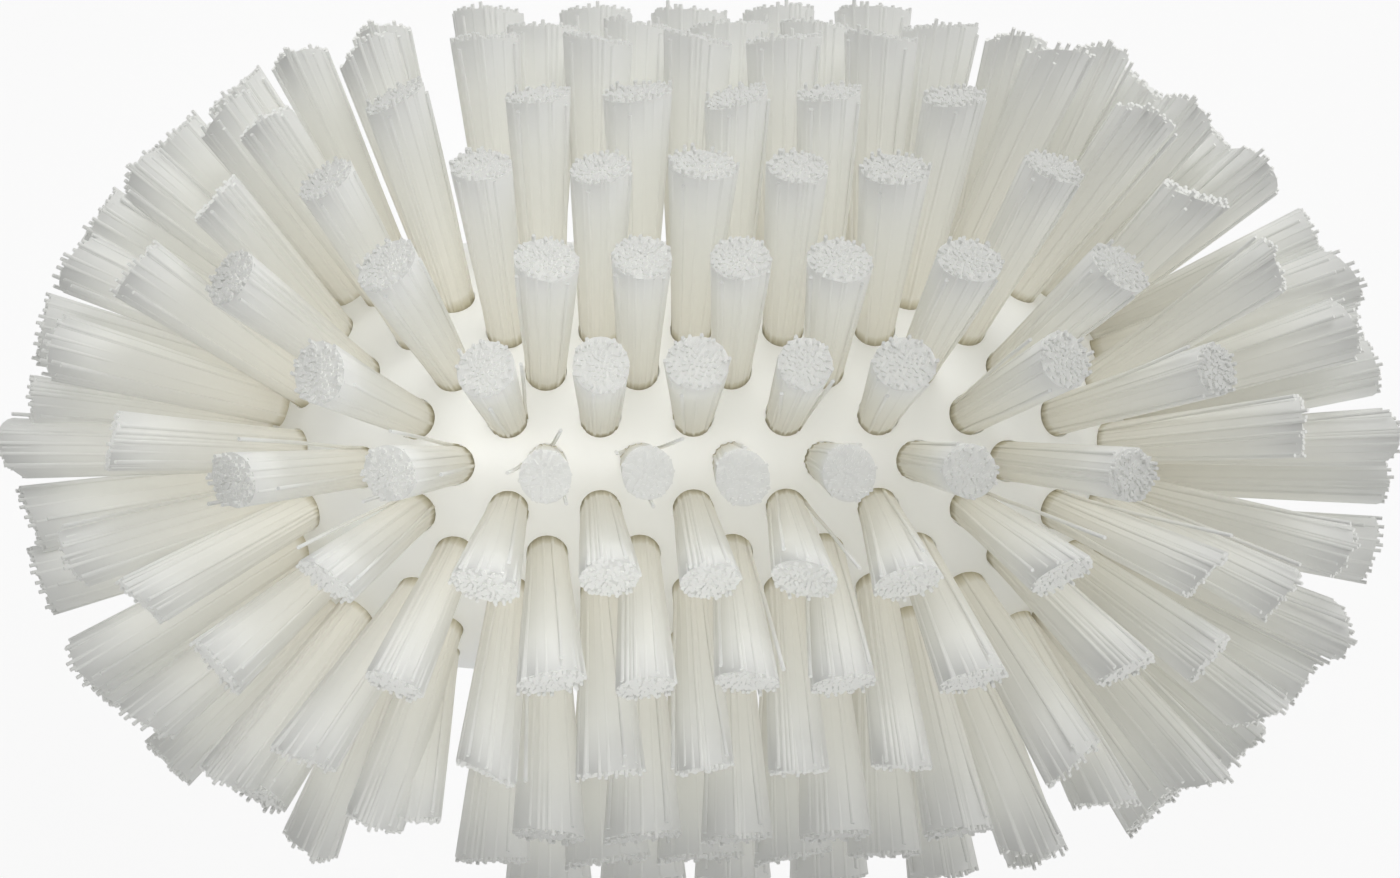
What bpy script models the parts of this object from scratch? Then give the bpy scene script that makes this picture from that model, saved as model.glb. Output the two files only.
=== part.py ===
"""Tank brush head: a domed block on a socket neck, with stiff bristles that fan out all round.

Metres, +Z up. The head stands on the rim of its neck at z = 0, bristles up, and X runs
along its length. The block is one moulding. Its skin is cut into slices, and each slice
carries the tufts that are set in it.
"""

import bpy
import bmesh
from math import asin, ceil, cos, hypot, pi, radians, sin, sqrt, tau
from mathutils import Matrix, Vector

# Block
DOME_RADIUS = 0.0328
SKIN_THICKNESS = 0.0045
SKIN_RISE = radians(1.8)
PLATE_DEPTH = 0.0030
PLATE_FILLET = 0.0020
SEAT_GAP = 0.0003

# Neck and the socket for the handle
NECK_HEIGHT = 0.0240
NECK_RADIUS = 0.0170
NECK_DRAFT = 0.0010
NECK_FILLET = 0.0045
RIM_CHAMFER = 0.0008
SOCKET_RADIUS = 0.0112
SOCKET_DEPTH = 0.0340
SOCKET_CHAMFER = 0.0012

# Rows of tufts along the length, as angles from the top line to each side
ROW_ANGLES = [radians(angle) for angle in (6.0, 18.2, 30.1, 41.6, 53.1, 60.0, 66.0)]
TUFT_PITCH = 0.0135
TUFTS_IN_ROW = 6
PATTERN_SHIFT = -0.0026
ROW_STAGGER = 0.0011
LEAN_START = 0.0245
LEAN_RADIUS = 0.0620

# Rings of tufts round each end: rises from the foot of the dome, turns from the long axis
RING_SPACING = radians(12.8)
CROWN_MARGIN = radians(8.2)
UPPER_RING_STEP = radians(19.5)
UPPER_RING_HEADINGS = [radians(angle) for angle in (0.0, 34.0, 48.0, 55.0, 72.0)]
UPPER_RING_LEANS = [radians(angle) for angle in (33.5, 39.5, 32.0, 40.0, 48.0)]
RIM_STEP = radians(13.0)
MIDDLE_RING_LEAN = radians(51.0)
LOWER_RING_LEAN = radians(60.0)

# Bristle strands
TUFT_LENGTH = 0.0400
STRANDS_IN_TUFT = 3
STRAND_SIDES = 3
STRAND_ROOT_RADIUS = 0.00075
STRAND_TIP_RADIUS = 0.0015
ROOT_SPREAD = 0.00135
TIP_SPREAD = 0.0024
ROOT_DEPTH = 0.0020
RAGGED_DEPTH = 0.0008
RAGGED_STEPS = 9
RAGGED_STRIDE = 4

# Facets
FACET_ANGLE = radians(10.0)
FACET_SLACK = 0.001
FILLET_STEPS = 4
TURNED_STEPS = 48
SHARP_ANGLE = radians(30.0)
MERGE_DISTANCE = 1e-6
CUT_MARGIN = 0.001

# Fits worked out from the sizes above
DOME_BASE = NECK_HEIGHT + PLATE_DEPTH
CORE_RADIUS = DOME_RADIUS - SKIN_THICKNESS - SEAT_GAP
ROOT_REACH = ROOT_SPREAD + STRAND_ROOT_RADIUS
EVEN_ROW_SHIFT = PATTERN_SHIFT + ROW_STAGGER / 2
ODD_ROW_SHIFT = PATTERN_SHIFT - ROW_STAGGER / 2 + TUFT_PITCH / 2
LAST_ROW_SHIFT = EVEN_ROW_SHIFT if TUFTS_IN_ROW % 2 else ODD_ROW_SHIFT
LAST_STATION = LAST_ROW_SHIFT + (TUFTS_IN_ROW - 1) // 2 * TUFT_PITCH
END_CENTRE = LAST_STATION + ROOT_REACH + 2 * SEAT_GAP
SIDE_GAP_ANGLE = SEAT_GAP / 2 / DOME_RADIUS
ROOT_MARGIN = (ROOT_REACH + ROOT_DEPTH / 2 + SEAT_GAP) / DOME_RADIUS
LOWER_RING_RISE = SKIN_RISE + ROOT_MARGIN
MIDDLE_RING_RISE = LOWER_RING_RISE + RING_SPACING
UPPER_RING_RISE = MIDDLE_RING_RISE + RING_SPACING
CROWN_FOOT = UPPER_RING_RISE + CROWN_MARGIN

SIDES = {"left": -1, "right": 1}
HALVES = {"front": -1, "back": 1}
THIRDS = ("front", "centre", "back")
RINGS = {
    "upper_ring": {
        "rise": UPPER_RING_RISE,
        "foot": UPPER_RING_RISE - RING_SPACING / 2,
        "top": CROWN_FOOT,
        "turns": [place * UPPER_RING_STEP for place in range(5)],
        "headings": UPPER_RING_HEADINGS,
        "leans": UPPER_RING_LEANS,
        "split": 1.5 * UPPER_RING_STEP,
    },
    "middle_ring": {
        "rise": MIDDLE_RING_RISE,
        "foot": MIDDLE_RING_RISE - RING_SPACING / 2,
        "top": MIDDLE_RING_RISE + RING_SPACING / 2,
        "turns": [place * RIM_STEP for place in range(7)],
        "headings": [place * RIM_STEP for place in range(7)],
        "leans": 7 * [MIDDLE_RING_LEAN],
        "split": 2.5 * RIM_STEP,
    },
    "lower_ring": {
        "rise": LOWER_RING_RISE,
        "foot": SKIN_RISE,
        "top": LOWER_RING_RISE + RING_SPACING / 2,
        "turns": [(place + 0.5) * RIM_STEP for place in range(5)],
        "headings": [(place + 0.5) * RIM_STEP for place in range(5)],
        "leans": 5 * [LOWER_RING_LEAN],
        "split": 2.0 * RIM_STEP,
    },
}


def clear_scene():
    for old in list(bpy.data.objects):
        bpy.data.objects.remove(old, do_unlink=True)


def make_collection(name):
    collection = bpy.data.collections.new(name)
    bpy.context.scene.collection.children.link(collection)
    return collection


def make_material(name, color, roughness):
    material = bpy.data.materials.new(name)
    material.use_nodes = True
    shader = material.node_tree.nodes["Principled BSDF"]
    shader.inputs["Base Color"].default_value = (*color, 1.0)
    shader.inputs["Roughness"].default_value = roughness
    shader.inputs["Metallic"].default_value = 0.0
    return material


def make_object(name, shape, collection, material=None):
    """An object with the shape as its mesh, shaded smooth where it has a material."""
    mesh = bpy.data.meshes.new(name)
    shape.to_mesh(mesh)
    shape.free()
    made = bpy.data.objects.new(name, mesh)
    collection.objects.link(made)
    if material is not None:
        mesh.materials.append(material)
        mesh.shade_smooth()
        mesh.set_sharp_from_angle(angle=SHARP_ANGLE)
    return made


def make_cutter(name, shape, cutters):
    """A helper for a Boolean, kept out of the part."""
    cutter = make_object(name, shape, cutters)
    cutter.hide_render = True
    cutter.display_type = "WIRE"
    return cutter


def add_boolean(target, operation, tool):
    modifier = target.modifiers.new(operation.title() + " " + tool.name, "BOOLEAN")
    modifier.operation = operation
    modifier.solver = "EXACT"
    modifier.object = tool


def facet_steps(angle, facet=FACET_ANGLE):
    """How many facets an angle takes when none is wider than asked."""
    return max(1, ceil(abs(angle) / facet - FACET_SLACK))


def arc(radius, start, end, facet=FACET_ANGLE, centre=(0.0, 0.0)):
    """Points on a circle from one angle to another."""
    steps = facet_steps(end - start, facet)
    angles = [start + (end - start) * step / steps for step in range(steps + 1)]
    return [(centre[0] + radius * cos(angle), centre[1] + radius * sin(angle)) for angle in angles]


def outline(shape, points, closed=False):
    """Join the points with edges, and return the edges."""
    corners = [shape.verts.new(point) for point in points]
    edges = [shape.edges.new(pair) for pair in zip(corners, corners[1:])]
    if closed:
        edges.append(shape.edges.new((corners[-1], corners[0])))
    return edges


def new_corners(geometry):
    return [item for item in geometry if isinstance(item, bmesh.types.BMVert)]


def close_up(shape):
    """Merge the corners that meet and turn every face outwards."""
    bmesh.ops.remove_doubles(shape, verts=shape.verts, dist=MERGE_DISTANCE)
    bmesh.ops.recalc_face_normals(shape, faces=shape.faces)


def make_turned(name, profile, cutters):
    """Turn a profile of (radius, height) points, top to bottom, about the Z axis."""
    shape = bmesh.new()
    outline(shape, [(radius, 0.0, height) for radius, height in profile])
    turned = make_cutter(name, shape, cutters)
    screw = turned.modifiers.new("Turn", "SCREW")
    screw.steps = TURNED_STEPS
    screw.render_steps = TURNED_STEPS
    screw.use_merge_vertices = True
    screw.merge_threshold = 0.0001
    return turned


def block_profile():
    """Half section of the core and its base plate, from the crown to the middle of the base."""
    seat = DOME_RADIUS * sin(SKIN_RISE) - SEAT_GAP
    dome = arc(CORE_RADIUS, pi / 2, asin(seat / CORE_RADIUS))
    edge = [(sqrt(DOME_RADIUS ** 2 - seat ** 2), seat), (DOME_RADIUS, 0.0)]
    fillet_centre = (DOME_RADIUS - PLATE_FILLET, PLATE_FILLET - PLATE_DEPTH)
    fillet = arc(PLATE_FILLET, 0.0, -pi / 2, pi / 2 / FILLET_STEPS, fillet_centre)
    profile = dome + edge + fillet + [(0.0, -PLATE_DEPTH)]
    return [(radius, DOME_BASE + height) for radius, height in profile]


def neck_profile():
    """Drafted neck that flares into the base plate."""
    top = NECK_HEIGHT + PLATE_DEPTH / 2
    flare_centre = (NECK_RADIUS + NECK_DRAFT + NECK_FILLET, NECK_HEIGHT - NECK_FILLET)
    flare = arc(NECK_FILLET, pi / 2, pi, pi / 2 / FILLET_STEPS, flare_centre)
    rim = [(NECK_RADIUS, RIM_CHAMFER), (NECK_RADIUS - RIM_CHAMFER, 0.0), (0.0, 0.0)]
    return [(0.0, top), (flare_centre[0], top)] + flare + rim


def socket_profile():
    """Blind bore with a chamfered mouth."""
    mouth = SOCKET_RADIUS + SOCKET_CHAMFER
    bore = [(0.0, SOCKET_DEPTH), (SOCKET_RADIUS, SOCKET_DEPTH), (SOCKET_RADIUS, SOCKET_CHAMFER)]
    return bore + [(mouth, 0.0), (mouth, -CUT_MARGIN), (0.0, -CUT_MARGIN)]


def make_block(parts, cutters, material):
    """Domed core, base plate, neck and socket, as one moulding."""
    shape = bmesh.new()
    edges = outline(shape, [(END_CENTRE, -radius, height) for radius, height in block_profile()])
    bmesh.ops.spin(
        shape,
        geom=shape.verts[:] + edges,
        cent=(END_CENTRE, 0, 0),
        axis=(0, 0, 1),
        angle=pi,
        steps=facet_steps(pi),
    )
    bmesh.ops.remove_doubles(shape, verts=shape.verts, dist=MERGE_DISTANCE)
    open_edges = [edge for edge in shape.edges if edge.is_boundary]
    for corner in new_corners(bmesh.ops.extrude_edge_only(shape, edges=open_edges)["geom"]):
        corner.co.x = 0.0
    bmesh.ops.recalc_face_normals(shape, faces=shape.faces)

    block = make_object("block", shape, parts, material)
    mirror = block.modifiers.new("Other end", "MIRROR")
    mirror.merge_threshold = 0.0001
    add_boolean(block, "UNION", make_turned("neck", neck_profile(), cutters))
    add_boolean(block, "DIFFERENCE", make_turned("socket", socket_profile(), cutters))


def dome_point(x, y):
    """The point of the dome's surface above (x, y)."""
    past_end = max(abs(x) - END_CENTRE, 0.0)
    return Vector((x, y, DOME_BASE + sqrt(max(DOME_RADIUS ** 2 - past_end ** 2 - y ** 2, 0.0))))


def row_direction(x, y):
    """Tufts stand square to the dome across it, and lean outwards past the middle."""
    lean = asin(min(max(abs(x) - LEAN_START, 0.0) / LEAN_RADIUS, 1.0))
    if x < 0.0:
        lean = -lean
    across = asin(y / DOME_RADIUS)
    return Vector((sin(lean), cos(lean) * sin(across), cos(lean) * cos(across)))


def tuft_rows():
    """Every row, front to back: its angle from the top line and its stations, end to end."""
    angles = [-angle for angle in reversed(ROW_ANGLES)] + ROW_ANGLES
    reach = int((END_CENTRE + DOME_RADIUS) / TUFT_PITCH) + 1
    rows = []
    for number, angle in enumerate(angles):
        shift = EVEN_ROW_SHIFT if number % 2 else ODD_ROW_SHIFT
        rows.append((angle, [shift + step * TUFT_PITCH for step in range(-reach, reach)]))
    return rows


def row_tufts(angle, stations):
    """Base and direction of each tuft of a row."""
    y = DOME_RADIUS * sin(angle)
    return [(dome_point(x, y), row_direction(x, y)) for x in stations]


def crown_stations(side, angle, stations):
    """A row's stations on the crown of one end, clear of the ring below it."""
    y = DOME_RADIUS * sin(angle)
    reach = DOME_RADIUS * cos(CROWN_FOOT) - ROOT_REACH - SEAT_GAP
    beyond = [x for x in stations if side * x > END_CENTRE]
    return [x for x in beyond if hypot(side * x - END_CENTRE, y) < reach]


def ring_tufts(side, ring, start, end):
    """Tufts round one end between two turns from the long axis."""
    reach = DOME_RADIUS * cos(ring["rise"])
    places = list(zip(ring["turns"], ring["headings"], ring["leans"]))
    places += [(-turn, -heading, lean) for turn, heading, lean in places if turn > 0.0]
    tufts = []
    for turn, heading, lean in sorted(places):
        if start < turn < end:
            base = dome_point(side * (END_CENTRE + reach * cos(turn)), reach * sin(turn))
            outwards = Vector((side * cos(heading), sin(heading), 0.0))
            tufts.append((base, sin(lean) * outwards + Vector((0.0, 0.0, cos(lean)))))
    return tufts


def add_strand(shape, root, tip, outwards):
    """One tapered strand with a corner turned outwards."""
    axis = (tip - root).normalized()
    across = (outwards - outwards.dot(axis) * axis).normalized()
    turn = Matrix((across, axis.cross(across), axis)).transposed().to_4x4()
    bmesh.ops.create_cone(
        shape,
        cap_ends=True,
        segments=STRAND_SIDES,
        radius1=STRAND_ROOT_RADIUS,
        radius2=STRAND_TIP_RADIUS,
        depth=(tip - root).length,
        matrix=Matrix.Translation((root + tip) / 2) @ turn,
    )


def add_tuft(shape, base, direction, number):
    """Strands that spread from one hole to wider, ragged tips."""
    downhill = (direction * direction.z - Vector((0, 0, 1))).normalized()
    sideways = direction.cross(downhill)
    for strand in range(STRANDS_IN_TUFT):
        angle = tau * strand / STRANDS_IN_TUFT
        outwards = cos(angle) * downhill + sin(angle) * sideways
        step = RAGGED_STRIDE * number + strand * RAGGED_STEPS // STRANDS_IN_TUFT
        length = TUFT_LENGTH - RAGGED_DEPTH * (step % RAGGED_STEPS) / (RAGGED_STEPS - 1)
        root = base - ROOT_DEPTH * direction + ROOT_SPREAD * outwards
        add_strand(shape, root, base + length * direction + TIP_SPREAD * outwards, outwards)


def make_tufts(name, skin, tufts, parts, cutters, material):
    """A slice of the block's skin with its tufts fused to it."""
    strands = bmesh.new()
    for number, (base, direction) in enumerate(tufts):
        add_tuft(strands, base, direction, number)
    tufted = make_object(name, skin, parts, material)
    add_boolean(tufted, "UNION", make_cutter(name + "_strands", strands, cutters))


def section_face(shape, points):
    """Fill the outline through the points."""
    return bmesh.ops.contextual_create(shape, geom=outline(shape, points, closed=True))["faces"]


def skin_section(start, end):
    """Outline of the skin between two angles, as distances outwards and upwards."""
    return arc(DOME_RADIUS, start, end) + arc(DOME_RADIUS - SKIN_THICKNESS, end, start)


def strip_skin(start, end):
    """Slice along the middle, between two angles from the top line."""
    shape = bmesh.new()
    half = END_CENTRE - SEAT_GAP / 2
    section = skin_section(pi / 2 - end + SIDE_GAP_ANGLE, pi / 2 - start - SIDE_GAP_ANGLE)
    face = section_face(shape, [(-half, out, DOME_BASE + up) for out, up in section])
    corners = new_corners(bmesh.ops.extrude_face_region(shape, geom=face)["geom"])
    bmesh.ops.translate(shape, verts=corners, vec=(2 * half, 0, 0))
    bmesh.ops.recalc_face_normals(shape, faces=shape.faces)
    return shape


def band_skin(side, foot, top, start, end):
    """Slice round one end, between two rises and two turns from the long axis."""
    shape = bmesh.new()
    middle = side * END_CENTRE
    points = []
    for out, up in skin_section(foot, top):
        points.append((middle + side * out * cos(start), out * sin(start), DOME_BASE + up))
    face = section_face(shape, points)
    bmesh.ops.spin(
        shape,
        geom=shape.verts[:] + shape.edges[:] + face,
        cent=(middle, 0, 0),
        axis=(0, 0, side),
        angle=end - start,
        steps=facet_steps(end - start),
    )
    close_up(shape)
    return shape


def crown_skin(side, across):
    """One half of an end's crown, trimmed back from its two flat seams."""
    start, end = sorted((0.0, across * pi / 2))
    shape = band_skin(side, CROWN_FOOT + SIDE_GAP_ANGLE, pi / 2, start, end)
    seams = (side * (END_CENTRE + SEAT_GAP / 2), across * SEAT_GAP / 2, 0)
    for outwards in ((side, 0, 0), (0, across, 0)):
        cut = bmesh.ops.bisect_plane(
            shape,
            geom=shape.verts[:] + shape.edges[:] + shape.faces[:],
            dist=MERGE_DISTANCE,
            plane_co=seams,
            plane_no=outwards,
            clear_inner=True,
        )
        rim = [item for item in cut["geom_cut"] if isinstance(item, bmesh.types.BMEdge)]
        bmesh.ops.edgeloop_fill(shape, edges=rim)
    bmesh.ops.recalc_face_normals(shape, faces=shape.faces)
    return shape


def make_middle(parts, cutters, material):
    """A slice for each row along the middle, with the three lowest rows of a side together."""
    rows = tuft_rows()
    groups = [rows[:3]] + [[row] for row in rows[3:-3]] + [rows[-3:]]
    foot = pi / 2 - SKIN_RISE + SIDE_GAP_ANGLE
    seams = [(low[-1][0] + high[0][0]) / 2 for low, high in zip(groups, groups[1:])]
    limits = [-foot] + seams + [foot]
    for number, group in enumerate(groups):
        tufts = []
        for angle, stations in group:
            tufts += row_tufts(angle, [x for x in stations if abs(x) < END_CENTRE])
        skin = strip_skin(limits[number], limits[number + 1])
        make_tufts(f"middle_tufts_{number + 1}", skin, tufts, parts, cutters, material)


def make_crown(side_name, side, parts, cutters, material):
    """Top of one end, as a front and a back slice."""
    for half_name, across in HALVES.items():
        tufts = []
        for angle, stations in tuft_rows():
            if angle * across > 0.0:
                tufts += row_tufts(angle, crown_stations(side, angle, stations))
        name = f"{side_name}_crown_{half_name}"
        make_tufts(name, crown_skin(side, across), tufts, parts, cutters, material)


def make_ring(name, side, ring, parts, cutters, material):
    """One ring round an end, as front, centre and back slices."""
    limits = [-pi / 2, -ring["split"], ring["split"], pi / 2]
    top = ring["top"] - SIDE_GAP_ANGLE
    foot = ring["foot"]
    if foot > SKIN_RISE:
        foot += SIDE_GAP_ANGLE
    gap = SEAT_GAP / 2 / (DOME_RADIUS * cos(top))
    for third, start, end in zip(THIRDS, limits, limits[1:]):
        skin = band_skin(side, foot, top, start + gap, end - gap)
        tufts = ring_tufts(side, ring, start, end)
        make_tufts(f"{name}_{third}", skin, tufts, parts, cutters, material)


def main():
    clear_scene()
    parts = make_collection("Tank brush head")
    cutters = make_collection("Cutters")
    block_plastic = make_material("Block plastic", (0.86, 0.86, 0.83), 0.35)
    bristle_plastic = make_material("Bristle plastic", (0.80, 0.80, 0.76), 0.4)
    make_block(parts, cutters, block_plastic)
    make_middle(parts, cutters, bristle_plastic)
    for side_name, side in SIDES.items():
        make_crown(side_name, side, parts, cutters, bristle_plastic)
        for ring_name, ring in RINGS.items():
            make_ring(f"{side_name}_{ring_name}", side, ring, parts, cutters, bristle_plastic)


main()
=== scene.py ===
import math
import random

import bmesh
import bpy
from mathutils import Matrix, Vector


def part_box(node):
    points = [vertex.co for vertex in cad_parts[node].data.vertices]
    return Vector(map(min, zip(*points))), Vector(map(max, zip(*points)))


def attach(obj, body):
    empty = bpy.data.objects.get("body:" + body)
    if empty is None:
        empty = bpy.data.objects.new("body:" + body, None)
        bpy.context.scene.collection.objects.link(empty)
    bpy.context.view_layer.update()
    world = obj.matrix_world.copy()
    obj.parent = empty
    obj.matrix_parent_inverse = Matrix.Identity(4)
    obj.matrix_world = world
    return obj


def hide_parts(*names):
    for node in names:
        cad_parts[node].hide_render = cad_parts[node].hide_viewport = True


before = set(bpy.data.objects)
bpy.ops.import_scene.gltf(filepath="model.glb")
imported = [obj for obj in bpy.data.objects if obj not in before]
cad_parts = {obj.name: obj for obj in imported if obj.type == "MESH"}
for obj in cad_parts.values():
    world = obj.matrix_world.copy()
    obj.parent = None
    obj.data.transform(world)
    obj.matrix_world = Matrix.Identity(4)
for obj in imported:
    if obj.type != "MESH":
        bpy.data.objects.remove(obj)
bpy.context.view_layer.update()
print("frame loaded with", len(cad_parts), "nodes")


# small helpers for modelling

def newPiece(name, obj):
    obj.name = name
    obj.data.name = name
    return obj


def deselectAll():
    if bpy.context.mode != "OBJECT":
        bpy.ops.object.mode_set(mode="OBJECT")
    bpy.ops.object.select_all(action="DESELECT")


def makeActive(obj):
    deselectAll()
    obj.select_set(True)
    bpy.context.view_layer.objects.active = obj


def bakePlace(obj):
    makeActive(obj)
    bpy.ops.object.transform_apply(location=True, rotation=True, scale=True)


def pick(obj, kind, test):
    # in edit mode, selects the edges or faces that pass the test
    mesh = bmesh.from_edit_mesh(obj.data)
    bpy.ops.mesh.select_all(action="DESELECT")
    bpy.ops.mesh.select_mode(type=kind)
    items = {"EDGE": mesh.edges, "FACE": mesh.faces}[kind]
    found = [item for item in items if test(item)]
    for item in found:
        item.select_set(True)
    mesh.select_flush_mode()
    bmesh.update_edit_mesh(obj.data)


def applyModifier(obj, kind, **settings):
    makeActive(obj)
    modifier = obj.modifiers.new(kind.title(), kind)
    for key, value in settings.items():
        setattr(modifier, key, value)
    bpy.ops.object.modifier_apply(modifier=modifier.name)


def cutWith(obj, cutter, operation="DIFFERENCE", **settings):
    applyModifier(obj, "BOOLEAN", object=cutter, operation=operation, solver="EXACT", **settings)
    bpy.data.objects.remove(cutter, do_unlink=True)


def joinAll(objects, name):
    deselectAll()
    for obj in objects:
        obj.select_set(True)
    bpy.context.view_layer.objects.active = objects[0]
    bpy.ops.object.join()
    return newPiece(name, bpy.context.active_object)


def copyOf(obj):
    twin = obj.copy()
    twin.data = obj.data.copy()
    bpy.context.scene.collection.objects.link(twin)
    return twin


# where the tufts stand, as in the part's own source

tufting = {
    "rowAngles": (6.0, 18.2, 30.1, 41.6, 53.1, 60.0, 66.0),
    "rowStrips": (1, 1, 1, 2, 3, 4, 5, 6, 7, 8, 9, 10, 10, 10),
    "rowSteps": (-6, 6),
    "pitch": 0.0135,
    "shift": -0.0026,
    "stagger": 0.0011,
    "leanStart": 0.0245,
    "leanRadius": 0.0620,
    "neckHeight": 0.0240,
    "plateDepth": 0.0030,
    "skinRise": 1.8,
    "rootReach": 0.0021,
    "rootDepth": 0.0020,
    "seatGap": 0.0003,
    "ringSpacing": 12.8,
    "crownMargin": 8.2,
    "rowLengths": {
        "ridge": 0.965, "crest": 0.965, "high": 0.965, "brow": 0.932,
        "low": 0.965, "wall": 0.965, "hem": 0.920,
    },
    "ringLengths": {"lower": 0.975, "middle": 0.985, "upper": 1.0},
    "rowForms": (
        "hem", "hem", "wall", "low", "low", "brow", "ridge",
        "crest", "high", "high", "high", "wall", "hem", "hem",
    ),
    "ringForms": {"lower": "rim", "middle": "low", "upper": "low"},
}
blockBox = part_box("block")
domeRadius = blockBox[1][1]
endCentre = blockBox[1][0] - domeRadius
domeBase = tufting["neckHeight"] + tufting["plateDepth"]


def domePoint(x, y):
    pastEnd = max(abs(x) - endCentre, 0.0)
    return Vector((x, y, domeBase + math.sqrt(max(domeRadius**2 - pastEnd**2 - y**2, 0.0))))


def rowDirection(x, y):
    lean = math.asin(min(max(abs(x) - tufting["leanStart"], 0.0) / tufting["leanRadius"], 1.0))
    lean = math.copysign(lean, x)
    across = math.asin(y / domeRadius)
    return Vector(
        (math.sin(lean), math.cos(lean) * math.sin(across), math.cos(lean) * math.cos(across))
    )


# turn round the end, heading and lean of each ring tuft in degrees: the real ones lean unevenly,
# and the few with a fourth value, a rise of their own, stand off their ring
ringAims = {
    "right": {
        "lower": (
            (58.5, 58, 47), (45.5, 41, 48), (32.5, 23, 56), (19.5, 11.5, 61), (6.5, 12, 62.5),
            (-6.5, -1.5, 65.5), (-19.5, -9, 67), (-32.5, -32.5, 57.5), (-45.5, -46.5, 55.5),
            (-58.5, -60.5, 52),
        ),
        "middle": (
            (78, 77.5, 43.5), (65, 67, 48.5), (52, 53.5, 47), (39, 39.5, 49), (26, 17.5, 58.5),
            (13, 14.5, 49.5), (0, -1.5, 62), (-13, -20, 48), (-26, -25.5, 59), (-39, -44, 51),
            (-52, -56.5, 52.5), (-63.5, -71, 44.5, 23.5), (-78, -79, 51),
        ),
        "upper": (
            (78, 66.5, 46.5), (58.5, 55, 40), (39, 48, 32), (19.5, 34, 39.5), (0, 0, 33.5),
            (-19.5, -34, 39.5), (-39, -48, 32), (-76.7, -67, 43, 46.9), (-86, -72, 56),
        ),
    },
    "left": {
        "lower": (
            (58.5, 53, 51), (45.5, 43, 53.5), (32.5, 30.5, 56), (19.5, 10, 60), (6.5, 3.5, 58),
            (-6.5, -11, 61), (-19.5, -14, 62), (-32.5, -31.5, 59.5), (-45.5, -47, 55.5),
            (-58.5, -57, 43.5),
        ),
        "middle": (
            (78, 76, 48), (65, 65.5, 49), (52, 53.5, 45.5), (39, 39, 50.5), (26, 23.5, 55),
            (13, 12, 49), (0, -1, 66), (-13, -20, 47.5), (-26, -33.5, 59), (-39, -41.5, 51.5),
            (-52, -54, 46.5), (-65, -69.5, 54), (-78, -82, 38.5),
        ),
        "upper": (
            (78, 72, 48), (58.5, 55, 40), (39, 48, 32), (19.5, 34, 39.5), (0, 0, 33.5),
            (-19.5, -34, 39.5), (-39, -48, 32), (-67, -58, 44, 43.7), (-78, -72, 45.5),
        ),
    },
}
# each ring's slices part at this turn to either side
ringSplits = {"lower": 26.0, "middle": 32.5, "upper": 29.25}


def ringTufts(side, rise, aims):
    found = []
    for turn, heading, lean, *own in aims:
        reach = domeRadius * math.cos(math.radians(own[0]) if own else rise)
        turned, headed, leaned = math.radians(turn), math.radians(heading), math.radians(lean)
        base = domePoint(side * (endCentre + reach * math.cos(turned)), reach * math.sin(turned))
        direction = Vector(
            (
                side * math.sin(leaned) * math.cos(headed),
                math.sin(leaned) * math.sin(headed),
                math.cos(leaned),
            )
        )
        found.append((base, direction, turn))
    return found


def thirdOf(turn, split):
    if abs(turn) < split:
        return "centre"
    return "back" if turn > 0 else "front"


def layOutTufts():
    # the tufts of each CAD node: base point, direction, share of the full length, and form
    tufts = {name: [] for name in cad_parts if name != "block"}
    rise = tufting["skinRise"] + math.degrees(
        (tufting["rootReach"] + tufting["rootDepth"] / 2 + tufting["seatGap"]) / domeRadius
    )
    rises = [math.radians(rise + step * tufting["ringSpacing"]) for step in range(3)]
    crownFoot = rises[2] + math.radians(tufting["crownMargin"])
    crownReach = domeRadius * math.cos(crownFoot) - tufting["rootReach"] - tufting["seatGap"]
    angles = [-angle for angle in reversed(tufting["rowAngles"])] + list(tufting["rowAngles"])
    for number, angle in enumerate(angles):
        y = domeRadius * math.sin(math.radians(angle))
        shift = tufting["shift"] + tufting["stagger"] / 2
        if number % 2 == 0:
            shift += tufting["pitch"] / 2 - tufting["stagger"]
        for step in range(*tufting["rowSteps"]):
            x = shift + step * tufting["pitch"]
            side = "right" if x > 0 else "left"
            if abs(x) < endCentre:
                name = f"middle_tufts_{tufting['rowStrips'][number]}"
            elif math.hypot(abs(x) - endCentre, y) < crownReach:
                name = f"{side}_crown_{'back' if angle > 0 else 'front'}"
            else:
                continue
            form = tufting["rowForms"][number]
            length = tufting["rowLengths"][form]
            tufts[name].append((domePoint(x, y), rowDirection(x, y), length, form))
    for sideName, side in (("left", -1), ("right", 1)):
        for ring, ringRise in zip(("lower", "middle", "upper"), rises):
            for base, direction, turn in ringTufts(side, ringRise, ringAims[sideName][ring]):
                name = f"{sideName}_{ring}_ring_{thirdOf(turn, ringSplits[ring])}"
                length, form = tufting["ringLengths"][ring], tufting["ringForms"][ring]
                tufts[name].append((base, direction, length, form))
    return tufts


tuftsOf = layOutTufts()
tuftTotal = sum(len(tufts) for tufts in tuftsOf.values())
print("laid out", tuftTotal, "tufts")


# shader maths

class Wire:
    def __init__(self, look, socket):
        self.look, self.socket = look, socket

    def math(self, operation, first, second):
        return self.look.node("ShaderNodeMath", {"operation": operation}, {0: first, 1: second})

    def __add__(self, other):
        return self.math("ADD", self, other)

    def __radd__(self, other):
        return self.math("ADD", other, self)

    def __sub__(self, other):
        return self.math("SUBTRACT", self, other)

    def __rsub__(self, other):
        return self.math("SUBTRACT", other, self)

    def __mul__(self, other):
        return self.math("MULTIPLY", self, other)

    def __rmul__(self, other):
        return self.math("MULTIPLY", other, self)

    def __pow__(self, other):
        return self.math("POWER", self, other)

    def outlet(self, output):
        return Wire(self.look, self.socket.node.outputs[output])


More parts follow.
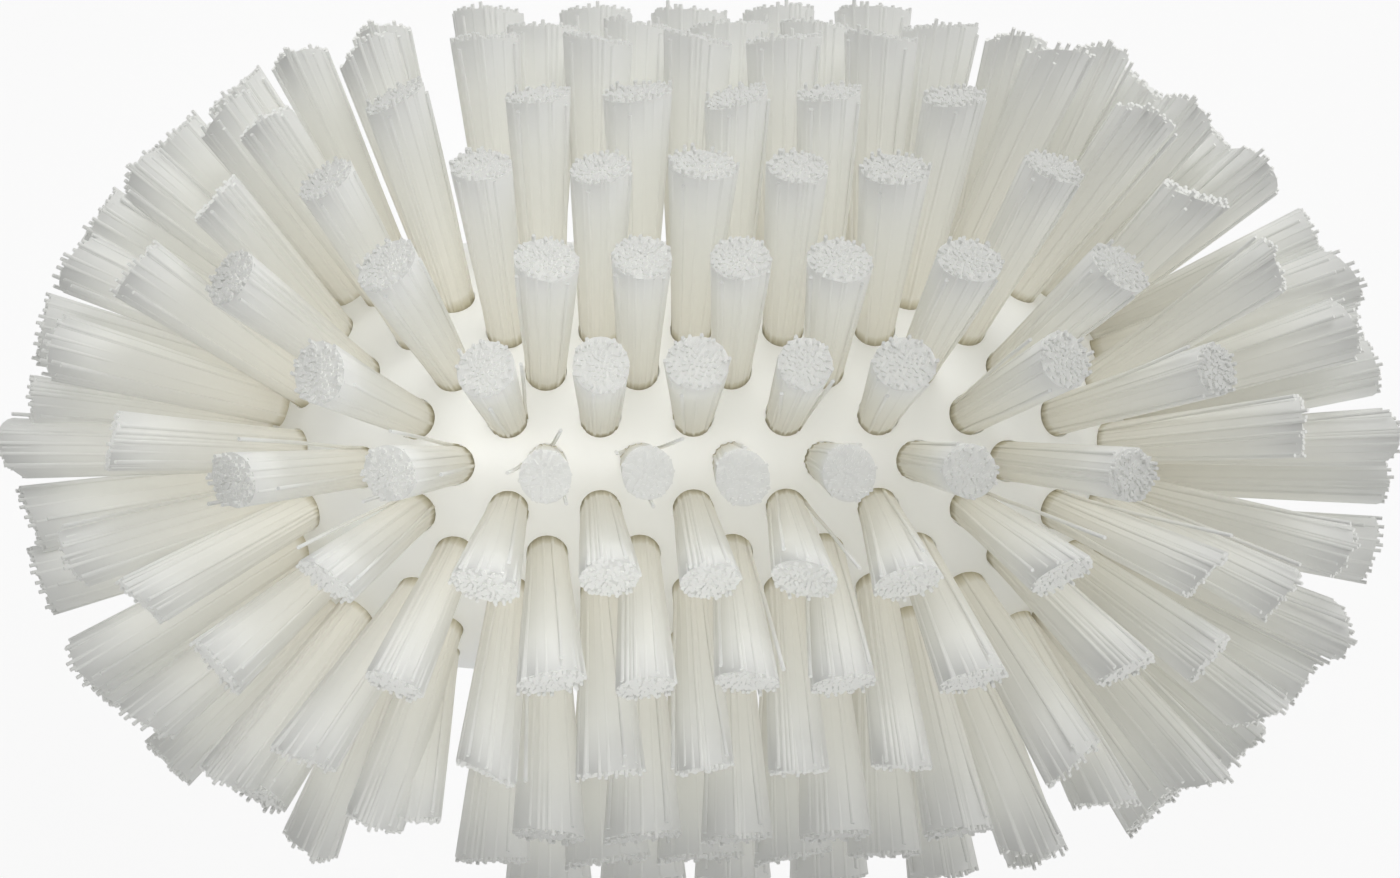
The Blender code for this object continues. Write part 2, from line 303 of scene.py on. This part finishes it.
class Look:
    # the nodes of a material or a world
    def __init__(self, owner, surface="Principled BSDF"):
        owner.use_nodes = True
        self.owner = owner
        self.tree = owner.node_tree
        self.surface = self.tree.nodes[surface]

    def node(self, kind, settings=None, sockets=None, output=0):
        made = self.tree.nodes.new(kind)
        for key, value in (settings or {}).items():
            setattr(made, key, value)
        for key, value in (sockets or {}).items():
            self.feed(made.inputs[key], value)
        return Wire(self, made.outputs[output])

    def feed(self, socket, value):
        if isinstance(value, Wire):
            self.tree.links.new(value.socket, socket)
        else:
            socket.default_value = value

    def blend(self, factor, first, second):
        # mixes two colours by a value from 0 to 1
        settings = {"data_type": "RGBA"}
        return self.node("ShaderNodeMix", settings, {0: factor, 6: first, 7: second}, output=2)

    def finish(self, **sockets):
        for key, value in sockets.items():
            self.feed(self.surface.inputs[key.replace("_", " ")], value)
        return self.owner

    def glowForCamera(self, output, glow):
        # the camera and clear reflections see white, mixed with the real surface
        path = self.node("ShaderNodeLightPath", output="Is Camera Ray")
        seen = path.math("MAXIMUM", path, path.outlet("Is Glossy Ray"))
        seen = seen.math("MAXIMUM", seen, path.outlet("Is Transmission Ray"))
        white = self.node("ShaderNodeEmission")
        real = Wire(self, self.surface.outputs[0])
        mixed = self.node("ShaderNodeMixShader", {}, {0: seen * glow, 1: real, 2: white})
        self.feed(self.tree.nodes[output].inputs["Surface"], mixed)


# finishes

bristleLook = {
    # the sides darken and warm from the tip down to the root: painted shade deep among the tufts,
    # tinted as light that has passed through the filaments
    "tip": (0.865, 0.87, 0.84, 1.0),
    "root": (0.81, 0.77, 0.65, 1.0),
    "rise": 0.4,
    # painted shade at the foot of each tuft, darkest where it goes down into its hole
    "holeShade": (0.55, 0.50, 0.34, 1.0),
    "holeShadeUpTo": 0.11,
    "holeShadeFade": 3,
    "toneDepth": 0.015,
    "evenness": 0.55,
    "roughness": 0.55,
}


def makeBristleFinish():
    look = Look(bpy.data.materials.new("bristleFilament"))
    along = look.node("ShaderNodeAttribute", {"attribute_name": "along"}, output=2)
    tone = look.node("ShaderNodeAttribute", {"attribute_name": "tone"}, output=2)
    cut = look.node("ShaderNodeAttribute", {"attribute_name": "cut"}, output=2)
    cutLightAndShade = look.node("ShaderNodeAttribute", {"attribute_name": "cutLightAndShade"}, output=2)
    outwards = look.node("ShaderNodeAttribute", {"attribute_name": "outwards"}, output=1)
    # painted shade: the sides darken and warm from the tip down to the root
    base = look.blend(along ** bristleLook["rise"], bristleLook["root"], bristleLook["tip"])
    # painted shade at the foot of the tuft, fading out a little above the skin
    out = along.math("DIVIDE", along, bristleLook["holeShadeUpTo"])
    out = out.math("MINIMUM", out, 1.0) ** bristleLook["holeShadeFade"]
    base = look.blend(out, bristleLook["holeShade"], base)
    # painted light and shade on the cut faces, and the filaments' own random tone
    shade = 1 + cutLightAndShade - tone * bristleLook["toneDepth"]
    color = look.node("ShaderNodeVectorMath", {"operation": "SCALE"}, {0: base, "Scale": shade})
    # the filaments pass light on to each other, so that a tuft is shaded nearly as one body
    own = look.node("ShaderNodeNewGeometry", output=1)
    share = (1 - cut) * bristleLook["evenness"]
    even = look.node("ShaderNodeVectorMath", {"operation": "SCALE"}, {0: outwards, "Scale": share})
    normal = look.node("ShaderNodeVectorMath", {"operation": "ADD"}, {0: own, 1: even})
    normal = look.node("ShaderNodeVectorMath", {"operation": "NORMALIZE"}, {0: normal})
    return look.finish(
        Base_Color=color,
        Roughness=bristleLook["roughness"],
        Normal=normal,
    )


blockLook = {
    "color": (0.865, 0.87, 0.85, 1.0),
    "cloud": (0.845, 0.85, 0.825, 1.0),
    "cloudScale": 40.0,
    "roughness": 0.38,
    "roughnessRange": 0.12,
    "grainScale": 900.0,
    "grainDepth": 0.00003,
    "grainStrength": 0.3,
}


def makeBlockFinish():
    look = Look(bpy.data.materials.new("blockPlastic"))
    place = look.node("ShaderNodeTexCoord", output=3)
    clouds = look.node(
        "ShaderNodeTexNoise", {}, {"Vector": place, "Scale": blockLook["cloudScale"], "Detail": 3.0}
    )
    grain = look.node(
        "ShaderNodeTexNoise", {}, {"Vector": place, "Scale": blockLook["grainScale"], "Detail": 2.0}
    )
    color = look.blend(clouds, blockLook["color"], blockLook["cloud"])
    bump = look.node(
        "ShaderNodeBump",
        {},
        {
            "Strength": blockLook["grainStrength"],
            "Distance": blockLook["grainDepth"],
            "Height": grain,
        },
    )
    roughness = blockLook["roughness"] + (clouds - 0.5) * blockLook["roughnessRange"]
    return look.finish(Base_Color=color, Roughness=roughness, Normal=bump)


# the tufts

filament = {
    "radius": 0.00029,
    "sides": 5,
    "cuts": 3,
    "perTuft": 150,
    # the filaments stand on a spiral, one golden angle apart
    "turnEach": 2.39996,
    "turnRange": 0.15,
    "crowding": 0.44,
    "rootSpread": 0.00268,
    "tipSpread": 0.00400,
    "spreadRange": 0.03,
    "coreShare": 1.01,
    "coreDrop": 0.00055,
    "coreSides": 24,
    "coreTone": 0.5,
    # how far each form flares, how obliquely it is cut, how wide it is, the painted light (above 0)
    # and painted shade (below 0) on its cut faces, and how loose its filaments are
    "forms": {
        "ridge": {"flare": 0.95, "slope": 0.20, "wide": 1.00, "endLightAndShade": -0.16, "loose": 2.2},
        "crest": {"flare": 1.00, "slope": 0.20, "wide": 1.00, "endLightAndShade": -0.17, "loose": 1.4},
        "high": {"flare": 1.10, "slope": 0.50, "wide": 1.00, "endLightAndShade": -0.18, "loose": 1.0},
        "brow": {"flare": 1.08, "slope": 1.55, "wide": 1.00, "endLightAndShade": 0.10, "loose": 1.8},
        "low": {"flare": 1.08, "slope": 1.15, "wide": 1.00, "endLightAndShade": 0.13, "loose": 1.4},
        "rim": {"flare": 1.14, "slope": 0.55, "wide": 0.95, "endLightAndShade": 0.08, "loose": 1.0},
        "wall": {"flare": 1.20, "slope": 0.55, "wide": 0.90, "endLightAndShade": -0.14, "loose": 1.0},
        "hem": {"flare": 1.22, "slope": 0.50, "wide": 0.88, "endLightAndShade": -0.14, "loose": 1.0},
    },
    "formRange": 0.06,
    "slopeRange": 0.05,
    "tuftLength": 0.0400,
    "rootDepth": 0.0030,
    "ragged": 0.00060,
    "raggedInside": 0.12,
    "longest": 0.00100,
    "bow": 0.00013,
    "bowFrom": 0.2,
    "twist": 0.035,
    "strays": 3,
    "strayReach": 0.7,
    "strayFrom": 0.8,
    "strayBow": 3.0,
    "strayShort": 0.003,
    "tuftKinds": 4,
    "firstSeed": 40,
    "plantingSeed": 7,
    "tuftWander": 0.6,
    "tuftSpin": 0.25,
}


def modelFilament(sides, radius):
    # one filament of unit length, standing on the ground
    deselectAll()
    bpy.ops.mesh.primitive_cylinder_add(
        vertices=sides, radius=radius, depth=1.0, location=(0, 0, 0.5)
    )
    obj = bpy.context.active_object
    bakePlace(obj)
    bpy.ops.object.mode_set(mode="EDIT")
    pick(obj, "EDGE", lambda edge: abs(edge.verts[0].co.z - edge.verts[1].co.z) > 0.5)
    bpy.ops.mesh.subdivide(number_cuts=filament["cuts"])
    pick(obj, "FACE", lambda face: abs(face.normal.z) < 0.5)
    bpy.ops.mesh.faces_shade_smooth()
    bpy.ops.object.mode_set(mode="OBJECT")
    obj.data.attributes.new("cut", "FLOAT", "FACE")
    for number, face in enumerate(obj.data.polygons):
        obj.data.attributes["cut"].data[number].value = 1.0 if abs(face.normal.z) > 0.5 else 0.0
    obj.data.attributes.new("cutLightAndShade", "FLOAT", "FACE")
    obj.data.attributes.new("outwards", "FLOAT_VECTOR", "POINT")
    along = obj.data.attributes.new("along", "FLOAT", "POINT")
    for number, corner in enumerate(obj.data.vertices):
        along.data[number].value = corner.co.z
    obj.data.attributes.new("tone", "FLOAT", "POINT")
    return obj


def bendFilament(strand, number, shape, chance):
    # lays one filament along its own line through the tuft
    count = filament["perTuft"]
    share = ((number + 0.5) / count) ** filament["crowding"]
    turnRange, spreadRange = filament["turnRange"], filament["spreadRange"]
    angle = number * filament["turnEach"] + chance.uniform(-turnRange, turnRange)
    root = share * filament["rootSpread"]
    spread = share * filament["tipSpread"] * shape["flare"]
    spread *= chance.uniform(1 - spreadRange, 1 + spreadRange)
    inside = filament["raggedInside"]
    ragged = filament["ragged"] * shape["loose"] * (inside + (1 - inside) * share**4)
    length = filament["tuftLength"] + min(chance.gauss(0.0, ragged), filament["longest"])
    tipAngle = angle + chance.gauss(0.0, filament["twist"] * shape["loose"])
    bow = chance.uniform(filament["bowFrom"], 1.0) * filament["bow"]
    if number >= count - filament["strays"]:
        reach = filament["strayReach"] * (shape["loose"] - filament["strayFrom"])
        spread *= chance.uniform(1.0, 1.0 + reach)
        bow *= filament["strayBow"]
        length -= chance.uniform(0.0, filament["strayShort"])
    bowAngle = chance.uniform(0.0, math.tau)
    start = Vector((root * math.cos(angle), root * math.sin(angle)))
    end = Vector((spread * math.cos(tipAngle), spread * math.sin(tipAngle)))
    end.x, end.y = end.x * shape["wide"], end.y / shape["wide"]
    side = Vector((math.cos(bowAngle), math.sin(bowAngle)))
    length += shape["slope"].dot(end)
    for corner in strand.data.vertices:
        height = corner.co.z * (length + filament["rootDepth"]) - filament["rootDepth"]
        along = max(height, 0.0) / filament["tuftLength"]
        middle = start.lerp(end, along) + side * bow * math.sin(math.pi * min(along, 1.0))
        corner.co = (corner.co.x + middle.x, corner.co.y + middle.y, height)
    tone = chance.random()
    for value in strand.data.attributes["tone"].data:
        value.value = tone


def modelCore(model, shape):
    # the closely packed heart of the tuft, which shows only between the outer filaments
    core = copyOf(model)
    share = filament["coreShare"]
    for corner in core.data.vertices:
        end = corner.co.xy * filament["tipSpread"] * shape["flare"] * share
        end.x, end.y = end.x * shape["wide"], end.y / shape["wide"]
        length = filament["tuftLength"] + shape["slope"].dot(end) - filament["coreDrop"]
        height = corner.co.z * (length + filament["rootDepth"]) - filament["rootDepth"]
        along = max(height, 0.0) / filament["tuftLength"]
        place = (corner.co.xy * filament["rootSpread"] * share).lerp(end, min(along, 1.0))
        corner.co = (place.x, place.y, height)
    for value in core.data.attributes["tone"].data:
        value.value = filament["coreTone"]
    return core


def modelTuft(model, coreModel, name, kind):
    chance = random.Random(filament["firstSeed"] + kind)
    form = filament["forms"][name]
    formRange, slopeRange = filament["formRange"], filament["slopeRange"]
    shape = {
        "flare": form["flare"] + chance.uniform(-1, 1) * formRange,
        "wide": form["wide"] + chance.uniform(-1, 1) * formRange,
        "slope": Vector((form["slope"] + chance.gauss(0, slopeRange), chance.gauss(0, slopeRange))),
        "loose": form["loose"],
    }
    strands = [modelCore(coreModel, shape)]
    for number in range(filament["perTuft"]):
        strand = copyOf(model)
        bendFilament(strand, number, shape, chance)
        strands.append(strand)
    tuft = joinAll(strands, f"{name}Tuft{kind}")
    attributes = tuft.data.attributes
    # each cut face takes the painted light and shade set for its form
    for cut, cutLightAndShade in zip(attributes["cut"].data, attributes["cutLightAndShade"].data):
        cutLightAndShade.value = cut.value * form["endLightAndShade"]
    return tuft


def tuftFrame(direction):
    # turns the tuft so that its longer side, on its own X, faces the light above the head
    above = Vector((0, 0, 1)) - direction * direction.z
    across = direction.cross(above.normalized())
    return Matrix((across.cross(direction), across, direction)).transposed().to_4x4()


def plantTufts(kinds, finish):
    chance = random.Random(filament["plantingSeed"])
    for node, tufts in sorted(tuftsOf.items()):
        planted = []
        for base, direction, length, form in tufts:
            tuft = copyOf(chance.choice(kinds[form]))
            wander = math.radians(filament["tuftWander"])
            tilt = Matrix.Rotation(chance.gauss(0, wander), 4, "X")
            tilt = tilt @ Matrix.Rotation(chance.gauss(0, wander), 4, "Y")
            spin = Matrix.Rotation(chance.gauss(0, filament["tuftSpin"]), 4, "Z")
            stretch = Matrix.Diagonal((1, 1, length, 1))
            turn = tuftFrame(direction) @ tilt @ spin @ stretch
            for corner, value in zip(tuft.data.vertices, tuft.data.attributes["outwards"].data):
                value.vector = turn @ Vector((corner.co.x, corner.co.y, 0.0)).normalized()
            tuft.data.transform(Matrix.Translation(base) @ turn)
            planted.append(tuft)
        piece = joinAll(planted, node + ".filaments")
        piece.data.materials.clear()
        piece.data.materials.append(finish)
        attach(piece, "root")
        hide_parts(node)
    for tufts in kinds.values():
        for tuft in tufts:
            bpy.data.objects.remove(tuft, do_unlink=True)


model = modelFilament(filament["sides"], filament["radius"])
coreModel = modelFilament(filament["coreSides"], 1.0)
tuftKinds = {
    name: [modelTuft(model, coreModel, name, kind) for kind in range(filament["tuftKinds"])]
    for name in filament["forms"]
}
bpy.data.objects.remove(model, do_unlink=True)
bpy.data.objects.remove(coreModel, do_unlink=True)
print("modelled the tufts in", len(tuftKinds), "forms")
plantTufts(tuftKinds, makeBristleFinish())
print("planted the tufts")


# the moulded block

moulding = {
    "segments": 96,
    "rings": 48,
    "straightCuts": 23,
    "footBevel": 0.0020,
    "footSteps": 4,
    "neckRadius": 0.0170,
    "neckDraft": 0.0010,
    "neckFillet": 0.0045,
    "filletSteps": 6,
    "neckSides": 72,
    "rimBevel": 0.0008,
    "socketRadius": 0.0112,
    "socketDepth": 0.0340,
    "socketChamfer": 0.0012,
    "threadPitch": 0.0042,
    "threadDepth": 0.0011,
    # the outline of one thread: how far out in thread depths, how far up in pitches
    "threadOutline": ((0, 0.25), (1, 0.17), (0, 0.16), (-1, 0.17), (0, 0.25)),
    "threadSteps": 48,
    "mouthSides": 96,
    "holeRadius": 0.0031,
    "holeDepth": 0.0042,
    "holeSides": 28,
    "cutterMargin": 0.001,
    "smoothBelow": 35,
}


def modelDome():
    deselectAll()
    bpy.ops.mesh.primitive_uv_sphere_add(
        segments=moulding["segments"],
        ring_count=moulding["rings"],
        radius=domeRadius,
        location=(endCentre, 0, domeBase),
    )
    dome = newPiece("block.moulding", bpy.context.active_object)
    bakePlace(dome)
    bpy.ops.object.mode_set(mode="EDIT")
    bpy.ops.mesh.select_all(action="SELECT")
    bpy.ops.mesh.bisect(
        plane_co=(endCentre, 0, 0), plane_no=(1, 0, 0), clear_inner=True, threshold=1e-6
    )
    bpy.ops.mesh.select_all(action="SELECT")
    bpy.ops.mesh.bisect(
        plane_co=(0, 0, domeBase), plane_no=(0, 0, 1), clear_inner=True, threshold=1e-6
    )
    pick(dome, "EDGE", lambda edge: all(abs(v.co.x - endCentre) < 1e-5 for v in edge.verts))
    bpy.ops.mesh.extrude_edges_move(TRANSFORM_OT_translate={"value": (-endCentre, 0, 0)})
    pick(dome, "EDGE", lambda edge: abs(edge.verts[0].co.x - edge.verts[1].co.x) > endCentre / 2)
    bpy.ops.mesh.subdivide(number_cuts=moulding["straightCuts"])
    bpy.ops.object.mode_set(mode="OBJECT")
    applyModifier(dome, "MIRROR", merge_threshold=0.00005)

    bottom = domeBase - tufting["plateDepth"]
    bpy.ops.object.mode_set(mode="EDIT")
    pick(dome, "EDGE", lambda edge: edge.is_boundary)
    bpy.ops.mesh.extrude_edges_move(
        TRANSFORM_OT_translate={"value": (0, 0, -tufting["plateDepth"])}
    )
    pick(dome, "EDGE", lambda edge: edge.is_boundary)
    bpy.ops.mesh.edge_face_add()
    pick(dome, "EDGE", lambda edge: all(abs(v.co.z - bottom) < 1e-5 for v in edge.verts))
    bpy.ops.mesh.bevel(
        offset=moulding["footBevel"], segments=moulding["footSteps"], affect="EDGES"
    )
    bpy.ops.mesh.select_all(action="SELECT")
    bpy.ops.mesh.normals_make_consistent(inside=False)
    bpy.ops.object.mode_set(mode="OBJECT")
    return dome


def modelNeck():
    # from the rim up, one ring at a time, flaring into the base
    top = tufting["neckHeight"]
    fillet = moulding["neckFillet"]
    wide = moulding["neckRadius"] + moulding["neckDraft"]
    rings = [(moulding["neckRadius"], moulding["rimBevel"]), (wide, top - fillet)]
    for step in range(1, moulding["filletSteps"] + 1):
        angle = math.pi / 2 * step / moulding["filletSteps"]
        rings.append(
            (wide + fillet * (1 - math.cos(angle)), top - fillet + fillet * math.sin(angle))
        )
    rings.append((rings[-1][0], top + tufting["plateDepth"] / 2))
    radius, height = moulding["neckRadius"] - moulding["rimBevel"], 0.0
    deselectAll()
    bpy.ops.mesh.primitive_circle_add(
        vertices=moulding["neckSides"], radius=radius, fill_type="NGON", location=(0, 0, 0)
    )
    neck = bpy.context.active_object
    bpy.ops.object.mode_set(mode="EDIT")
    bpy.ops.mesh.select_all(action="SELECT")
    for nextRadius, nextHeight in rings:
        bpy.ops.mesh.extrude_region_move(
            TRANSFORM_OT_translate={"value": (0, 0, nextHeight - height)}
        )
        grow = nextRadius / radius
        bpy.ops.transform.resize(value=(grow, grow, 1), center_override=(0, 0, nextHeight))
        radius, height = nextRadius, nextHeight
    bpy.ops.mesh.select_all(action="SELECT")
    bpy.ops.mesh.normals_make_consistent(inside=False)
    bpy.ops.object.mode_set(mode="OBJECT")
    return neck


def modelSocketCutter():
    # one turn of the thread's outline, screwed up the socket and trimmed flat at both ends
    pitch, deep = moulding["threadPitch"], moulding["threadDepth"]
    turns = math.ceil(moulding["socketDepth"] / pitch) + 3
    deselectAll()
    bpy.ops.mesh.primitive_plane_add(
        size=pitch, location=(moulding["socketRadius"], 0, -1.5 * pitch)
    )
    cutter = bpy.context.active_object
    bakePlace(cutter)
    bpy.ops.object.mode_set(mode="EDIT")
    bpy.ops.mesh.select_mode(type="VERT")
    bpy.ops.mesh.select_all(action="SELECT")
    bpy.ops.mesh.merge(type="CENTER")
    for out, up in moulding["threadOutline"]:
        bpy.ops.mesh.extrude_vertices_move(
            TRANSFORM_OT_translate={"value": (out * deep, 0, up * pitch)}
        )
    bpy.ops.object.mode_set(mode="OBJECT")
    applyModifier(
        cutter,
        "SCREW",
        axis="Z",
        angle=math.tau,
        screw_offset=pitch,
        iterations=turns,
        steps=moulding["threadSteps"],
        render_steps=moulding["threadSteps"],
    )
    bpy.ops.object.mode_set(mode="EDIT")
    bpy.ops.mesh.select_all(action="SELECT")
    bpy.ops.mesh.remove_doubles(threshold=1e-6)
    for height, outwards in ((-moulding["cutterMargin"], -1), (moulding["socketDepth"], 1)):
        bpy.ops.mesh.select_all(action="SELECT")
        bpy.ops.mesh.bisect(
            plane_co=(0, 0, height),
            plane_no=(0, 0, outwards),
            use_fill=True,
            clear_outer=True,
            threshold=1e-7,
        )
    bpy.ops.mesh.select_all(action="SELECT")
    bpy.ops.mesh.normals_make_consistent(inside=False)
    bpy.ops.object.mode_set(mode="OBJECT")
    return cutter


def modelChamferCutter():
    # a cone that opens the socket's mouth a little
    margin = moulding["cutterMargin"]
    wide = moulding["socketRadius"] + moulding["threadDepth"] + moulding["socketChamfer"]
    wide += margin
    deselectAll()
    bpy.ops.mesh.primitive_cone_add(
        vertices=moulding["mouthSides"],
        radius1=wide,
        radius2=0,
        depth=wide,
        location=(0, 0, wide / 2 - margin),
    )
    cutter = bpy.context.active_object
    bakePlace(cutter)
    return cutter


def modelHoleCutter():
    holes = []
    deselectAll()
    for tufts in tuftsOf.values():
        for base, direction, *_ in tufts:
            depth = 2 * moulding["holeDepth"]
            bpy.ops.mesh.primitive_cylinder_add(
                vertices=moulding["holeSides"],
                radius=moulding["holeRadius"],
                depth=depth,
                location=base,
                rotation=direction.to_track_quat("Z", "Y").to_euler(),
            )
            holes.append(bpy.context.active_object)
    cutter = joinAll(holes, "holes")
    bakePlace(cutter)
    return cutter


def modelBlock(finish):
    block = modelDome()
    cutWith(block, modelNeck(), "UNION")
    cutWith(block, modelSocketCutter())
    cutWith(block, modelChamferCutter())
    print("moulded the block")
    # some holes run into each other under the skin
    cutWith(block, modelHoleCutter(), use_self=True)
    print("drilled", tuftTotal, "tuft holes")
    makeActive(block)
    bpy.ops.object.shade_smooth_by_angle(angle=math.radians(moulding["smoothBelow"]))
    block.data.materials.clear()
    block.data.materials.append(finish)
    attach(block, "root")
    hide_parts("block")


modelBlock(makeBlockFinish())


# floor, light and camera

studio = {
    "floorSize": 6.0,
    "floorHeight": -0.0005,
    "floorRoughness": 0.6,
    "floorColor": (0.86, 0.86, 0.86, 1.0),
    "floorGlow": 0.90,
    "skyStrength": 0.35,
    "keyEnergy": 1.9,
    "keySize": 0.4,
    "keyPlace": (0.10, 0.66, 0.78),
    # the lamps round the head, which throw no shadows: heading in degrees and energy
    "round": {"back": (90, 2.2), "front": (272, 1.5), "right": (0, 2.3)},
    "aimHeight": 0.05,
    "roundSize": 0.7,
    "roundReach": 1.0,
    "roundHeight": 0.15,
    # x and energy of each spot
    "spots": ((-0.038, 15.8), (0.038, 5.4)),
    "spotHeight": 1.1,
    "spotFront": 0.06,
    "spotReach": 0.075,
    "spotReachHeight": 0.08,
    "spotAimHeight": 0.06,
    "spotRadius": 0.05,
}
# fitted to the places of the holes and of the tufts' ends in the photo: the focal length in
# pixels, the turns in degrees
camera = {
    "sensorWidth": 36.0,
    "imageWidth": 1400,
    "focal": 3553.3,
    "distance": 0.549,
    "tilt": 3.99,
    "yaw": -2.33,
    "roll": 0.59,
    "right": 0.00023,
    "up": 0.0023,
}


def layFloor():
    deselectAll()
    bpy.ops.mesh.primitive_plane_add(
        size=studio["floorSize"], location=(0, 0, studio["floorHeight"])
    )
    floor = newPiece("floor", bpy.context.active_object)
    look = Look(bpy.data.materials.new("paleFloor"))
    floor.data.materials.append(
        look.finish(Base_Color=studio["floorColor"], Roughness=studio["floorRoughness"])
    )
    look.glowForCamera("Material Output", studio["floorGlow"])


def addLamp(name, energy, size, place, shadow=True):
    lamp = bpy.data.lights.new(name, "AREA")
    lamp.energy, lamp.size, lamp.use_shadow = energy, size, shadow
    holder = bpy.data.objects.new(name, lamp)
    bpy.context.scene.collection.objects.link(holder)
    holder.location = place
    target = Vector((0, 0, studio["aimHeight"]))
    holder.rotation_euler = (target - Vector(place)).to_track_quat("-Z", "Y").to_euler()


def addSpot(name, energy, x):
    # down on the middle of the head from a little in front, fading towards its edges
    lamp = bpy.data.lights.new(name, "SPOT")
    lamp.energy, lamp.use_shadow = energy, False
    drop = studio["spotHeight"] - studio["spotReachHeight"]
    lamp.spot_size = 2 * math.atan(studio["spotReach"] / drop)
    lamp.spot_blend = 1.0
    lamp.shadow_soft_size = studio["spotRadius"]
    holder = bpy.data.objects.new(name, lamp)
    bpy.context.scene.collection.objects.link(holder)
    holder.location = (x, -studio["spotFront"], studio["spotHeight"])
    target = Vector((x, 0, studio["spotAimHeight"]))
    holder.rotation_euler = (target - holder.location).to_track_quat("-Z", "Y").to_euler()


def lightStudio():
    world = bpy.data.worlds.new("studio")
    bpy.context.scene.world = world
    sky = Look(world, "Background")
    sky.finish(Color=(1.0, 1.0, 1.0, 1.0), Strength=studio["skyStrength"])
    sky.glowForCamera("World Output", 1.0)
    addLamp("key", studio["keyEnergy"], studio["keySize"], studio["keyPlace"])
    for name, (heading, energy) in studio["round"].items():
        turned = math.radians(heading)
        place = (
            studio["roundReach"] * math.cos(turned),
            studio["roundReach"] * math.sin(turned),
            studio["roundHeight"],
        )
        addLamp(name, energy, studio["roundSize"], place, shadow=False)
    for number, (x, energy) in enumerate(studio["spots"]):
        addSpot(f"spot{number + 1}", energy, x)


def placeCamera():
    lens = bpy.data.cameras.new("camera")
    lens.sensor_width = camera["sensorWidth"]
    lens.lens = camera["focal"] * lens.sensor_width / camera["imageWidth"]
    holder = bpy.data.objects.new("camera", lens)
    bpy.context.scene.collection.objects.link(holder)
    turn = Matrix.Rotation(math.radians(camera["roll"]), 3, "Z")
    turn = turn @ Matrix.Rotation(-math.radians(camera["tilt"]), 3, "X")
    turn = turn @ Matrix.Rotation(-math.radians(camera["yaw"]), 3, "Y")
    turn.transpose()
    eye = turn @ Vector((camera["right"], camera["up"], camera["distance"]))
    holder.matrix_world = Matrix.Translation(eye + Vector((0, 0, domeBase))) @ turn.to_4x4()
    bpy.context.scene.camera = holder


layFloor()
lightStudio()
placeCamera()
bpy.context.scene.view_settings.view_transform = "Standard"
print("set the floor, the lights and the camera")
